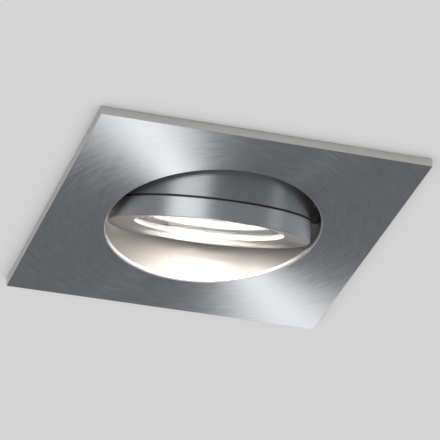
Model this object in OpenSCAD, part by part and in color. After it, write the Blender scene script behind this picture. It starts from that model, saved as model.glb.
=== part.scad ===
// Square soffit downlight with a tilting round head, in millimetres.
// The plane z = 0 is the ceiling: the trim plate hangs below it, everything else stands in the cut-out above it.

/* [Trim plate] */
// Side of the square plate
plate_side = 100; // [96:1:120]
// Thickness of the plate
plate_t = 2.6; // [2.4:0.1:3]
// Diameter of the light opening in the plate
opening_d = 64.3; // [63.8:0.1:64.8]

/* [Tilting head] */
// Tilt of the head from level
tilt = 25.2; // [0:0.1:30]
// Outer diameter of the head
head_d = 61; // [60.6:0.1:61.2]
// Height of the head from the bezel's face to its upper rim
head_h = 19.3; // [18:0.1:19.8]
// Height of the tilt axis above the plate's front face
pivot_h = 10.3; // [10.2:0.1:10.5]
// Height of the bezel, up to the shadow groove
bezel_h = 6.02; // [5.9:0.02:6.1]
// Width of the shadow groove between bezel and head body
groove_w = 0.5; // [0.4:0.05:0.6]
// Diameter of the glass opening in the bezel
glass_opening_d = 45.1; // [43:0.1:45.6]
// Depth of the bezel's dished face at the glass opening
dish_depth = 1.2; // [0.8:0.1:1.4]
// Turn that frees the bezel from its bayonet
bezel_turn = 25; // [15:1:30]

/* [Lamp] */
// Rim diameter of the reflector lamp
lamp_d = 50.6; // [50:0.1:50.8]
// Length of the lamp from its rim to the end of its base
lamp_len = 44.5; // [43:0.5:45]
// Distance between the two lamp pins
pin_pitch = 5.33; // [5:0.01:6]

/* [Collar] */
// Inner diameter of the collar behind the plate
collar_d = 67; // [66.9:0.1:67.2]
// Height of the collar above the ceiling plane
collar_h = 18; // [16:0.5:19]
// Diameter of the collar's flange
flange_d = 82.6; // [82.4:0.1:82.8]

/* [Ceiling clips] */
// Angle of a clip arm below level on its stop
clip_drop = 14; // [10:1:14]
// Straight length of a clip arm from its hinge to the bend
arm_len = 27; // [26:0.5:30]
// Turns of each torsion spring
spring_turns = 5; // [4:1:5]
// Diameter of the spring wire
spring_wire_d = 1; // [0.9:0.1:1]

/* [Terminal box] */
// Width of the terminal box
box_w = 24.8; // [24.7:0.1:25.2]
// Height of the terminal box
box_h = 32; // [31:0.5:34]
// Diameter of the supply cable that the inlet takes
cable_d = 6; // [5:0.1:6]

/* [Hidden] */
$fn = 96;

eps = 0.01;
aluminium = [0.72, 0.73, 0.75];
steel = [0.62, 0.64, 0.66];
black_rubber = [0.06, 0.06, 0.06];
ceramic = [0.93, 0.91, 0.86];
clear_glass = [0.85, 0.92, 0.95, 0.35];
white_plastic = [0.9, 0.9, 0.88];

// Plate back: the flange sits in a pocket, the gasket in a shallower step round it
pocket_r = flange_d / 2 + 0.2;
pocket_depth = 1.25;
flange_top = -0.05;
gasket_r = pocket_r + 4.4;
gasket_step = 0.8;
gasket_t = 0.78;
opening_chamfer = 0.4;

// Studs, nuts and washers that hold the flange to the plate
stud_angles = [35, 145, 215, 325];
stud_circle_r = 37.9;
stud_r = 1.5;
stud_top = 4.6;
washer_t = 0.5;
nut_h = 2.4;
nut_flats = 5.5;

// Collar
collar_r = collar_d / 2;
collar_wall = 1.1;
collar_out_r = collar_r + collar_wall;

// Head, in heights above the bezel's face with the head level
head_r = head_d / 2;
body_from = bezel_h + groove_w;
spigot_from = 4.3;
spigot_r = 28.6;
lamp_bore_r = lamp_d / 2 + 0.4;
shoulder_at = 8.6;
web_top = 12.6;
web_r = 23.7;
upper_bore_r = 28;
edge_chamfer = 0.3;
pivot_z = pivot_h - plate_t;
spot_face_x = head_r - 0.3;
pivot_screw_r = 2;
pivot_thread_r = 1.5;
pivot_x = 24.4;

// Bayonet of the bezel
running = 0.1;
bezel_bore_r = spigot_r + running;
lug_count = 3;
lug_width = 8;
lug_from = 4.5;
lug_h = 0.6;
lug_reach = 0.8;
slot_reach = lug_reach + 0.1;
slot_from = 4.4;
slot_h = 0.8;
slot_slack = 0.6;
first_lug = 60;

// Glass and its gasket in the bezel
glass_r = 25.3;
glass_seat_r = 25.5;
glass_from = dish_depth + 0.8;
glass_t = 1.5;
glass_gasket_t = 0.7;
ledge_at = glass_from + glass_t + glass_gasket_t;

// Lamp, in distances above its rim; the rim lies above the circlip
lamp_at = 5.9;
lamp_r = lamp_d / 2;
rim_h = shoulder_at - lamp_at;
reflector_h = 31;
neck_r = 9.3;
neck_hole_r = 5.2;
facets = 32;
facet_rows = 8;
circlip_wire_r = 0.6;
circlip_r = lamp_bore_r - 0.45;
circlip_at = 5.2;
lamp_end = lamp_at + lamp_len;
holder_h = 9.8;
holder_top = lamp_end + 0.2 + holder_h;
lead_r = 0.9;

// Ceiling clips: the hinge pins run along X, one over each side of the flange
sheet_t = 1;
clip_y = 38.3;
clip_z = 14;
clip_pin_r = 1.25;
ear_in_x = 8;
wall_in_y = collar_out_r + 0.1 + sheet_t;
bracket_out_y = 40.3;
coil_r = clip_y - wall_in_y - spring_wire_d / 2;
coil_pitch = spring_wire_d + 0.5;
leaf_t = 0.8;
leaf_w = 14.4;
leaf_top = coil_r - spring_wire_d / 2;
leaf_from = 3.5;
bend_r = 4;
bend_angle = 40;
foot_len = 5;
toe_r = 3;
toe_angle = 60;
rivet_r = 1.25;
rivet_head_r = 2.1;
rivet_head_h = 0.9;
clip_rivet_x = 5;
strap_rivet_y = 4;
strap_rivet_x = 37.6;

// Terminal box on its strap, on the -X side
strap_x = 41;
strap_w = 12;
strap_h = 60;
box_back_x = strap_x - sheet_t;
box_front_x = 28;
box_from = 30;
box_top = box_from + box_h;
box_wall = 1.5;
lid_t = 1.4;
cable_x = 33.4;
cable_y = 5.2;
lead_y = -5.5;
lead_gap = 3.2;
block_from = 40;
block_h = 12;
block_w = 14;
block_front_x = 30.6;
boss_r = 2.1;
boss_y = box_w / 2 - box_wall - 1.1;
boss_z = box_from + 3.4;
post_spread = 4.2;
clamp_z = 56;
box_screw_z = 36;
box_screw_y = 4;

function unit(v) = v / norm(v);
function on_circle(r, a) = [r * cos(a), r * sin(a)];
function tilted_point(p) = [
    p[0],
    p[1] * cos(tilt) - (p[2] - pivot_z) * sin(tilt),
    pivot_z + p[1] * sin(tilt) + (p[2] - pivot_z) * cos(tilt)
];
function bezier(p, t) =
    pow(1 - t, 3) * p[0] + 3 * t * pow(1 - t, 2) * p[1] + 3 * t * t * (1 - t) * p[2] + pow(t, 3) * p[3];

// One closed round tube along a list of points; side_axis is never parallel to the route
module tube_along(points, r, sides, side_axis) {
    last = len(points) - 1;
    tangents = [for (i = [0:last]) unit(points[min(i + 1, last)] - points[max(i - 1, 0)])];
    rings = [
        for (i = [0:last])
            let (u = unit(cross(tangents[i], side_axis)), v = cross(tangents[i], u))
            for (k = [0:sides - 1])
                points[i] + r * (cos(360 * k / sides) * u + sin(360 * k / sides) * v)
    ];
    walls = [
        for (i = [0:last - 1], k = [0:sides - 1])
            let (a = i * sides + k, b = i * sides + (k + 1) % sides)
            each [[a, b, a + sides], [b, b + sides, a + sides]]
    ];
    start_cap = [for (k = [sides - 1:-1:0]) k];
    end_cap = [for (k = [0:sides - 1]) last * sides + k];
    polyhedron(rings, concat([start_cap], walls, [end_cap]));
}

// Least distance between parts of a wire's centre line that lie over half a turn apart
function least_gap(points, wire_d, apart) = min([
    for (i = [0:len(points) - 1])
        for (j = [i + apart:1:len(points) - 1]) norm(points[i] - points[j]) - wire_d
]);

// A rectangle with round corners, as squares and circles
module round_rect(x, y, r) {
    square([x - 2 * r, y], center = true);
    square([x, y - 2 * r], center = true);
    for (sx = [-1, 1], sy = [-1, 1])
        translate([sx * (x / 2 - r), sy * (y / 2 - r)])
            circle(r, $fn = 32);
}

// A piece of a flat ring in the plane, from one angle to another
module ring_piece(r_in, r_out, from_angle, to_angle) {
    far = r_out * 2;
    intersection() {
        difference() {
            circle(r_out);
            circle(r_in);
        }
        polygon([[0, 0], on_circle(far, from_angle), on_circle(far, to_angle)]);
    }
}

// A profile of (radius, height above the bezel's face) turned into a ring of the level head
module turned(points) {
    translate([0, 0, -plate_t])
        rotate_extrude()
            polygon(points);
}

// A stretch of square-sectioned ring on the level head
module turned_arc(r_in, r_out, from_h, to_h, from_angle, width) {
    translate([0, 0, -plate_t])
        rotate([0, 0, from_angle])
            rotate_extrude(angle = width)
                translate([r_in, from_h])
                    square([r_out - r_in, to_h - from_h]);
}

// The head and all it holds, turned about the pivot screws
module tilted() {
    translate([0, 0, pivot_z])
        rotate([tilt, 0, 0])
            translate([0, 0, -pivot_z])
                children();
}

// A cylinder along X from x0 to x1
module rod_x(r, x0, x1, y, z) {
    translate([x0, y, z])
        rotate([0, 90, 0])
            cylinder(r = r, h = x1 - x0);
}

// The same piece at each clip: the rear one lies towards +Y, the front one towards -Y
module at_clip(side) {
    rotate([0, 0, side == "rear" ? 0 : 180])
        children();
}

// The frame of a clip arm: Y runs along the arm from its hinge, Z away from the ceiling board
module on_arm(side) {
    at_clip(side)
        translate([0, clip_y, clip_z])
            rotate([-clip_drop, 0, 0])
                children();
}

// A flat outline in the YZ plane, given thickness along X about the centre
module across(width) {
    translate([-width / 2, 0, 0])
        rotate([90, 0, 90])
            linear_extrude(width)
                children();
}

module at_studs(z) {
    for (a = stud_angles)
        rotate([0, 0, a])
            translate([stud_circle_r, 0, z])
                children();
}

// Places of the rivets: two through each clip bracket and two through the strap's foot
module at_rivets() {
    for (turn = [0, 180], x = [-clip_rivet_x, clip_rivet_x])
        rotate([0, 0, turn])
            translate([x, clip_y, 0])
                children();
    for (y = [-strap_rivet_y, strap_rivet_y])
        translate([-strap_rivet_x, y, 0])
            children();
}

// Square plate with the round opening; its back is stepped for flange and gasket
module trim_plate() {
    color(aluminium)
        difference() {
            translate([-plate_side / 2, -plate_side / 2, -plate_t])
                cube([plate_side, plate_side, plate_t]);
            translate([0, 0, -plate_t - eps])
                cylinder(d = opening_d, h = plate_t + 2 * eps);
            translate([0, 0, -plate_t - eps])
                cylinder(r1 = opening_d / 2 + opening_chamfer + eps, r2 = opening_d / 2, h = opening_chamfer + eps);
            translate([0, 0, -pocket_depth])
                cylinder(r = pocket_r, h = pocket_depth + eps);
            translate([0, 0, -gasket_step])
                cylinder(r = gasket_r, h = gasket_step + eps);
        }
}

// Studs welded to the floor of the pocket
module weld_studs() {
    color(steel)
        at_studs(-pocket_depth)
            rotate_extrude()
                polygon([[0, 0], [stud_r, 0], [stud_r, stud_top + 0.8], [stud_r - 0.4, stud_top + 1.2], [0, stud_top + 1.2]]);
}

// Foam ring, pressed level with the plate's back
module ceiling_gasket() {
    color(black_rubber)
        translate([0, 0, -gasket_step])
            difference() {
                cylinder(r = gasket_r - 0.1, h = gasket_t);
                translate([0, 0, -eps])
                    cylinder(r = pocket_r + 0.05, h = gasket_t + 2 * eps);
            }
}

// Recess tube behind the plate with its screwed-down flange and the two pivot holes
module collar() {
    color(aluminium)
        difference() {
            rotate_extrude()
                polygon([
                    [collar_r, -pocket_depth], [flange_d / 2, -pocket_depth], [flange_d / 2, flange_top],
                    [collar_out_r, flange_top], [collar_out_r, collar_h - 0.4], [collar_out_r - 0.4, collar_h],
                    [collar_r + 0.4, collar_h], [collar_r, collar_h - 0.4]
                ]);
            at_studs(-pocket_depth - eps)
                cylinder(r = stud_r + 0.15, h = pocket_depth + 2 * eps);
            translate([0, 0, -pocket_depth - eps])
                at_rivets()
                    cylinder(r = rivet_r, h = pocket_depth + 2 * eps);
            rod_x(pivot_screw_r + 0.05, -collar_out_r - 1, collar_out_r + 1, 0, pivot_z);
        }
}

module stud_washers() {
    color(steel)
        at_studs(flange_top)
            difference() {
                cylinder(r = 3, h = washer_t);
                translate([0, 0, -eps])
                    cylinder(r = stud_r + 0.1, h = washer_t + 2 * eps);
            }
}

// Hexagon nuts with their corners turned off at the top
module stud_nuts() {
    color(steel)
        at_studs(flange_top + washer_t)
            difference() {
                intersection() {
                    cylinder(d = nut_flats / cos(30), h = nut_h, $fn = 6);
                    cylinder(r1 = nut_flats / 2 + 3, r2 = nut_flats / 2 + 0.05, h = nut_h + 0.35);
                }
                translate([0, 0, -eps])
                    cylinder(r = stud_r + 0.02, h = nut_h + 2 * eps);
            }
}

// Folded channel: foot on the flange, back wall against the collar, two ears with the pin holes
module clip_bracket(side) {
    depth = bracket_out_y - wall_in_y + sheet_t;
    width = 2 * (ear_in_x + sheet_t);
    color(steel)
        at_clip(side)
            difference() {
                union() {
                    translate([-width / 2, wall_in_y - sheet_t, flange_top])
                        cube([width, depth, sheet_t]);
                    translate([-width / 2, wall_in_y - sheet_t, flange_top])
                        cube([width, sheet_t, clip_z + 1]);
                    for (x = [-ear_in_x - sheet_t / 2, ear_in_x + sheet_t / 2])
                        translate([x, 0, 0])
                            across(sheet_t) {
                                translate([wall_in_y - sheet_t, flange_top])
                                    square([clip_y - wall_in_y + sheet_t, clip_z + 1]);
                                translate([clip_y - 1, flange_top])
                                    polygon([[0, 0], [bracket_out_y - clip_y + 1, 0], [3.8, clip_z], [0, clip_z]]);
                                translate([clip_y, clip_z])
                                    circle(r = 2.8);
                            }
                }
                rod_x(clip_pin_r + 0.05, -width, width, clip_y, clip_z);
                for (x = [-clip_rivet_x, clip_rivet_x])
                    translate([x, clip_y, flange_top - eps])
                        cylinder(r = rivet_r, h = sheet_t + 2 * eps);
            }
}
module front_clip_bracket() clip_bracket("front");
module rear_clip_bracket() clip_bracket("rear");

// Side view of the arm's strip: straight, bent down, then curled up into a toe that slides on the board
module arm_strip() {
    translate([leaf_from, leaf_top - leaf_t])
        square([arm_len - leaf_from, leaf_t]);
    translate([arm_len, leaf_top - leaf_t - bend_r]) {
        ring_piece(bend_r, bend_r + leaf_t, 90 - bend_angle, 90.5);
        rotate(-bend_angle) {
            translate([-0.02, bend_r])
                square([foot_len + 0.04, leaf_t]);
            translate([foot_len, bend_r + leaf_t + toe_r])
                ring_piece(toe_r, toe_r + leaf_t, 269.5, 270 + toe_angle);
        }
    }
}

// Outline of the arm from above, narrowed and rounded towards the toe
module arm_outline() {
    reach = arm_len + 12;
    translate([-leaf_w / 2, leaf_from - 1])
        square([leaf_w, arm_len - leaf_from + 1]);
    polygon([[-leaf_w / 2, arm_len - 0.1], [leaf_w / 2, arm_len - 0.1], [5, reach], [-5, reach]]);
}

// Ear of the arm: round over the pin, with a square heel that stops against the bracket's wall
module arm_ear() {
    heel = clip_y - wall_in_y - 0.04;
    circle(r = heel - 0.1);
    rotate(clip_drop)
        translate([-heel, -heel])
            square(heel);
    translate([0, leaf_top - leaf_t - 2])
        square([leaf_from + 2, leaf_t + 2]);
}

module clip_arm(side) {
    color(steel)
        on_arm(side)
            difference() {
                union() {
                    intersection() {
                        across(leaf_w)
                            arm_strip();
                        translate([0, 0, -20])
                            linear_extrude(30)
                                arm_outline();
                    }
                    for (x = [-1, 1])
                        translate([x * (leaf_w - leaf_t) / 2, 0, 0])
                            across(leaf_t)
                                arm_ear();
                }
                rod_x(clip_pin_r + 0.05, -leaf_w, leaf_w, 0, 0);
            }
}
module front_clip_arm() clip_arm("front");
module rear_clip_arm() clip_arm("rear");

// Centre line of a torsion spring round its pin: a leg down the bracket's wall, the coil, a leg along the arm
coil_from = -spring_turns * coil_pitch / 2 - coil_pitch * (90 - clip_drop) / 720;
coil_sweep = 360 * spring_turns + 270 - clip_drop;
rings_per_turn = 8;
coil_steps = round(coil_sweep / 360 * rings_per_turn);
function coil_point(i) =
    let (a = 180 + coil_sweep * i / coil_steps)
    [coil_from + coil_pitch * (a - 180) / 360, clip_y + coil_r * cos(a), clip_z + coil_r * sin(a)];
wall_leg = [for (z = [9, 5, 1.5]) [coil_from, clip_y - coil_r, clip_z - z]];
arm_leg_x = coil_from + coil_pitch * coil_sweep / 360;
arm_leg = [
    for (u = [1.5, 6, 11, 15])
        [arm_leg_x, clip_y + coil_r * sin(clip_drop) + u * cos(clip_drop), clip_z + coil_r * cos(clip_drop) - u * sin(clip_drop)]
];
coil_line = [for (i = [0:coil_steps]) coil_point(i)];
spring_line = concat(wall_leg, coil_line, arm_leg);
echo(least_gap_between_spring_turns = least_gap(coil_line, spring_wire_d, rings_per_turn - 1));

module clip_spring(side) {
    color([0.75, 0.76, 0.78])
        at_clip(side)
            tube_along(spring_line, spring_wire_d / 2, 6, [1, 0, 0]);
}
module front_clip_spring() clip_spring("front");
module rear_clip_spring() clip_spring("rear");

// Hinge pins of both clips, with a peened head at each end
module clip_pins() {
    out_x = ear_in_x + sheet_t;
    color(steel)
        for (side = ["front", "rear"])
            at_clip(side) {
                rod_x(clip_pin_r, -out_x - 0.1, out_x + 0.1, clip_y, clip_z);
                rod_x(1.9, -out_x - 0.9, -out_x, clip_y, clip_z);
                rod_x(1.9, out_x, out_x + 0.9, clip_y, clip_z);
            }
}

// Soft sleeve pushed over the arm where it crosses the board's edge
module arm_sleeve(side) {
    wall = 0.7;
    color([0.8, 0.2, 0.15])
        on_arm(side)
            translate([0, 17, leaf_top - leaf_t / 2])
                rotate([-90, 0, 0])
                    linear_extrude(arm_len - 18)
                        difference() {
                            round_rect(leaf_w + 2 * wall, leaf_t + 2 * wall, 0.9);
                            square([leaf_w, leaf_t], center = true);
                        }
}
module front_arm_sleeve() arm_sleeve("front");
module rear_arm_sleeve() arm_sleeve("rear");

// Rivets through the feet of the clip brackets and the strap into the flange
module foot_rivets() {
    seat = flange_top + sheet_t;
    color(steel)
        at_rivets()
            rotate_extrude()
                polygon([
                    [0, -pocket_depth], [rivet_r, -pocket_depth], [rivet_r, seat],
                    [rivet_head_r, seat], [rivet_head_r - 0.3, seat + 0.5],
                    [rivet_head_r - 1, seat + rivet_head_h], [0, seat + rivet_head_h]
                ]);
}

// Turned ring that carries the lamp: spigot with bayonet lugs, lamp bore, shoulder, thin upper wall
module head_body() {
    groove_r = circlip_r + circlip_wire_r + 0.05;
    color(aluminium)
        tilted()
            difference() {
                union() {
                    turned([
                        [lamp_bore_r, spigot_from], [spigot_r, spigot_from], [spigot_r, body_from],
                        [head_r - edge_chamfer, body_from], [head_r, body_from + edge_chamfer],
                        [head_r, head_h - edge_chamfer], [head_r - edge_chamfer, head_h],
                        [upper_bore_r, head_h], [upper_bore_r, web_top], [web_r, web_top],
                        [web_r, shoulder_at], [lamp_bore_r, shoulder_at],
                        [lamp_bore_r, circlip_at + 0.65], [groove_r, circlip_at + 0.65],
                        [groove_r, circlip_at - 0.65], [lamp_bore_r, circlip_at - 0.65]
                    ]);
                    for (k = [0:lug_count - 1])
                        turned_arc(spigot_r - 0.5, spigot_r + lug_reach, lug_from, lug_from + lug_h,
                            first_lug + k * 360 / lug_count - lug_width / 2, lug_width);
                }
                for (side = [0, 180])
                    rotate([0, 0, side]) {
                        rod_x(pivot_thread_r, pivot_x - 1, head_r + 1, 0, pivot_z);
                        rod_x(3.3, spot_face_x, head_r + 1, 0, pivot_z);
                    }
            }
}

// Black silicone ring that lies deep in the groove round the spigot
module ring_seal() {
    color(black_rubber)
        tilted()
            turned([
                [spigot_r, bezel_h + 0.05], [head_r - 0.6, bezel_h + 0.05],
                [head_r - 0.6, body_from], [spigot_r, body_from]
            ]);
}

// Dished front ring; three bayonet slots inside its bore take the lugs of the head body
module front_bezel() {
    slot_width = lug_width + bezel_turn + 2 * slot_slack;
    color(aluminium)
        tilted()
            difference() {
                turned([
                    [glass_opening_d / 2, dish_depth], [head_r - 0.25, 0.03], [head_r, edge_chamfer],
                    [head_r, bezel_h - 0.1], [head_r - 0.1, bezel_h], [bezel_bore_r, bezel_h],
                    [bezel_bore_r, ledge_at], [glass_seat_r, ledge_at], [glass_seat_r, glass_from],
                    [glass_opening_d / 2 + 0.15, glass_from], [glass_opening_d / 2, glass_from - 0.15]
                ]);
                for (k = [0:lug_count - 1]) {
                    lug_angle = first_lug + k * 360 / lug_count - lug_width / 2 - slot_slack;
                    turned_arc(bezel_bore_r - 0.5, spigot_r + slot_reach, slot_from, slot_from + slot_h,
                        lug_angle, slot_width - slot_slack / 2);
                    turned_arc(bezel_bore_r - 0.6, spigot_r + slot_reach + 0.05, slot_from + 0.2, bezel_h + 0.5,
                        lug_angle + bezel_turn, lug_width + 2 * slot_slack);
                }
            }
}

module front_glass() {
    color(clear_glass)
        tilted()
            turned([
                [0, glass_from], [glass_r - 0.2, glass_from], [glass_r, glass_from + 0.2],
                [glass_r, glass_from + glass_t - 0.2], [glass_r - 0.2, glass_from + glass_t], [0, glass_from + glass_t]
            ]);
}

module glass_gasket() {
    gasket_from = glass_from + glass_t;
    color(black_rubber)
        tilted()
            turned([
                [glass_opening_d / 2 + 0.4, gasket_from], [glass_r, gasket_from],
                [glass_r, gasket_from + glass_gasket_t - 0.05],
                [glass_opening_d / 2 + 0.4, gasket_from + glass_gasket_t - 0.05]
            ]);
}

// Shoulder screws: the shoulder turns in the collar, the thread holds the head body
module pivot_screws() {
    shoulder_end = head_r - 0.3;
    head_from = collar_out_r + 0.85;
    color(steel)
        tilted()
            for (side = [0, 180])
                rotate([0, 0, side])
                    difference() {
                        union() {
                            rod_x(pivot_thread_r, pivot_x, shoulder_end + 0.1, 0, pivot_z);
                            rod_x(pivot_screw_r, shoulder_end, head_from + 0.1, 0, pivot_z);
                            rod_x(3.1, head_from, head_from + 1.8, 0, pivot_z);
                        }
                        translate([head_from + 0.9, -0.4, pivot_z - 4])
                            cube([2, 0.8, 8]);
                    }
}

// Spacers that keep the head centred in the collar
module pivot_spacers() {
    color([0.35, 0.35, 0.36])
        tilted()
            for (side = [0, 180])
                rotate([0, 0, side])
                    difference() {
                        rod_x(3, spot_face_x, collar_r - 0.25, 0, pivot_z);
                        rod_x(pivot_screw_r, spot_face_x - 1, collar_r + 1, 0, pivot_z);
                    }
}

// Dished spring washers under the screw heads; their grip holds the head at any tilt
module pivot_spring_washers() {
    from_x = collar_out_r + 0.08;
    color(steel)
        tilted()
            for (side = [0, 180])
                rotate([0, 0, side])
                    translate([from_x, 0, pivot_z])
                        rotate([0, 90, 0])
                            rotate_extrude()
                                polygon([
                                    [pivot_screw_r + 0.02, 0.3], [3.4, 0], [3.4, 0.4], [pivot_screw_r + 0.02, 0.7]
                                ]);
}

// Wire ring under the lamp's rim, with two finger ends
module lamp_circlip() {
    open = 28;
    color(steel)
        tilted()
            translate([0, 0, circlip_at - plate_t])
                rotate([0, 0, 90 + open / 2]) {
                    rotate_extrude(angle = 360 - open)
                        translate([circlip_r, 0])
                            circle(circlip_wire_r, $fn = 24);
                    for (a = [0, 360 - open])
                        rotate([0, 0, a])
                            rod_x(circlip_wire_r, circlip_r - 2, circlip_r, 0, 0);
                }
}

// Outline of the reflector: parabolic outside and inside, closed round the rim and the neck
function outer_wall(t) = [neck_r + (lamp_r - 2.1 - neck_r) * sqrt(t), reflector_h - (reflector_h - rim_h) * t];
function inner_wall(t) = [neck_hole_r + 1.2 + (lamp_r - 4.2 - neck_hole_r) * sqrt(t), reflector_h - 3 - (reflector_h - 4.6) * t];
reflector_line = concat(
    [[neck_hole_r, reflector_h - 2.4]],
    [for (k = [0:facet_rows]) inner_wall(pow(k / facet_rows, 1.25))],
    [[lamp_r - 1.8, 1.6], [lamp_r - 1.8, 0], [lamp_r, 0], [lamp_r, rim_h]],
    [for (k = [facet_rows:-1:0]) outer_wall(pow(k / facet_rows, 1.6))],
    [[neck_hole_r, reflector_h]]
);

// Pressed glass reflector: each row of mirror facets is turned half a facet against the next
module lamp_reflector() {
    rows = len(reflector_line);
    step = 360 / facets;
    points = [
        for (i = [0:rows - 1], j = [0:facets - 1])
            let (a = step * (j + (i > 0 && i <= facet_rows ? (i % 2) / 2 : 0)))
            [reflector_line[i][0] * cos(a), reflector_line[i][0] * sin(a), reflector_line[i][1]]
    ];
    faces = [
        for (i = [0:rows - 1], j = [0:facets - 1])
            let (
                i2 = (i + 1) % rows, j2 = (j + 1) % facets,
                odd = i > 0 && i <= facet_rows && i % 2 == 1,
                a = i * facets + j, b = i * facets + j2, c = i2 * facets + j2, d = i2 * facets + j
            )
            each odd ? [[a, b, c], [a, c, d]] : [[a, b, d], [b, c, d]]
    ];
    color([0.85, 0.86, 0.9])
        tilted()
            translate([0, 0, lamp_at - plate_t])
                polyhedron(points, faces);
}

module lamp_cover_glass() {
    color(clear_glass)
        tilted()
            translate([0, 0, lamp_at + 0.5 - plate_t])
                cylinder(r = lamp_r - 2.1, h = 1);
}

// Domed tube, closed at both ends, in distances above the lamp's rim
module capsule_form(r, dome_at, tube_end, top) {
    rotate_extrude()
        polygon(concat(
            [[0, dome_at - r]],
            [for (a = [75:-15:0]) [r * cos(a), dome_at - r * sin(a)]],
            [[r, tube_end], [r - 1.2, top], [0, top]]
        ));
}

// Quartz capsule: hollow domed bulb and the flat pinch that stands in the neck
module lamp_capsule() {
    color(clear_glass)
        tilted()
            translate([0, 0, lamp_at - plate_t]) {
                difference() {
                    capsule_form(4.4, 14, 21.5, 23.5);
                    capsule_form(3.6, 14, 20.7, 22);
                }
                translate([-4, -1.5, 23.4])
                    cube([8, 3, 7.6]);
            }
}

// Coiled filament across the capsule
filament_turns = 6;
filament_line = [
    for (i = [0:filament_turns * 8])
        [-2.4 + 0.8 * i / 8, 0.7 * cos(45 * i), 0.7 * sin(45 * i)]
];
module lamp_filament() {
    color([1, 0.85, 0.5])
        tilted()
            translate([0, 0, lamp_at + 16 - plate_t])
                tube_along(filament_line, 0.14, 6, [1, 0, 0]);
}

// Ceramic base cemented to the reflector's neck
module lamp_base() {
    color(ceramic)
        tilted()
            translate([0, 0, lamp_at + reflector_h - plate_t]) {
                cylinder(r = neck_r - 0.6, h = 3);
                translate([0, 0, 3 - eps])
                    linear_extrude(lamp_len - reflector_h - 3 + eps)
                        round_rect(17, 11.4, 1.6);
            }
}

module lamp_pins() {
    color([0.8, 0.8, 0.78])
        tilted()
            for (x = [-pin_pitch / 2, pin_pitch / 2])
                translate([x, 0, lamp_end - plate_t])
                    cylinder(r = 0.78, h = 7, $fn = 32);
}

// Ceramic socket pushed on to the pins, with a hole for each pin and each lead
module lamp_holder() {
    color(ceramic)
        tilted()
            translate([0, 0, lamp_end + 0.2 - plate_t])
                difference() {
                    union() {
                        linear_extrude(holder_h - 2.4)
                            round_rect(18.4, 12, 2);
                        translate([0, 0, holder_h - 2.4 - eps])
                            linear_extrude(2.4 + eps)
                                round_rect(14.6, 9, 2);
                    }
                    for (x = [-pin_pitch / 2, pin_pitch / 2])
                        translate([x, 0, -1]) {
                            cylinder(r = 0.85, h = 8.2, $fn = 32);
                            cylinder(r = lead_r + 0.15, h = holder_h + 2, $fn = 32);
                        }
                    for (y = [-6.4, 6.4])
                        translate([-3, y - 0.8, -1])
                            cube([6, 1.6, holder_h - 2.6]);
                }
}

// Two sleeved leads: out of the socket, over in a slack bow, and down into the terminal box
head_up = tilted_point([0, 0, pivot_z + 1]) - [0, 0, pivot_z];
lead_bow = 20;
lead_steps = 20;
function lead_line(k) =
    let (
        from = tilted_point([(k - 0.5) * pin_pitch, 0, holder_top - plate_t]),
        to = [-cable_x + (0.5 - k) * -lead_gap, lead_y, box_top]
    )
    concat(
        [from - 2 * head_up],
        [for (i = [0:lead_steps]) bezier([from, from + lead_bow * head_up, to + [0, 0, lead_bow], to], i / lead_steps)],
        [to - [0, 0, 4], to - [0, 0, box_top - block_from - block_h]]
    );
module holder_leads() {
    color([0.92, 0.9, 0.85])
        for (k = [0, 1])
            tube_along(lead_line(k), lead_r, 8, [0.5, -1, 0.1]);
}

// Upright sheet-steel strap: foot on the flange, hole over the pivot screw, box at its upper end
module terminal_bracket() {
    color(steel)
        difference() {
            union() {
                translate([-strap_x, -strap_w / 2, flange_top])
                    cube([strap_x - 35, strap_w, sheet_t]);
                translate([-strap_x, 0, 0])
                    rotate([90, 0, 90])
                        linear_extrude(sheet_t) {
                            translate([-strap_w / 2, flange_top])
                                square([strap_w, strap_h - 3 - flange_top]);
                            translate([-strap_w / 2 + 3, 0])
                                square([strap_w - 6, strap_h]);
                            for (y = [3 - strap_w / 2, strap_w / 2 - 3])
                                translate([y, strap_h - 3])
                                    circle(3, $fn = 48);
                        }
            }
            rod_x(3.6, -strap_x - 1, -strap_x + sheet_t + 1, 0, pivot_z);
            for (y = [-box_screw_y, box_screw_y])
                rod_x(1.5, -strap_x - 1, -strap_x + sheet_t + 1, y, box_screw_z);
            for (y = [-strap_rivet_y, strap_rivet_y])
                translate([-strap_rivet_x, y, flange_top - eps])
                    cylinder(r = rivet_r, h = sheet_t + 2 * eps);
        }
}

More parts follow.
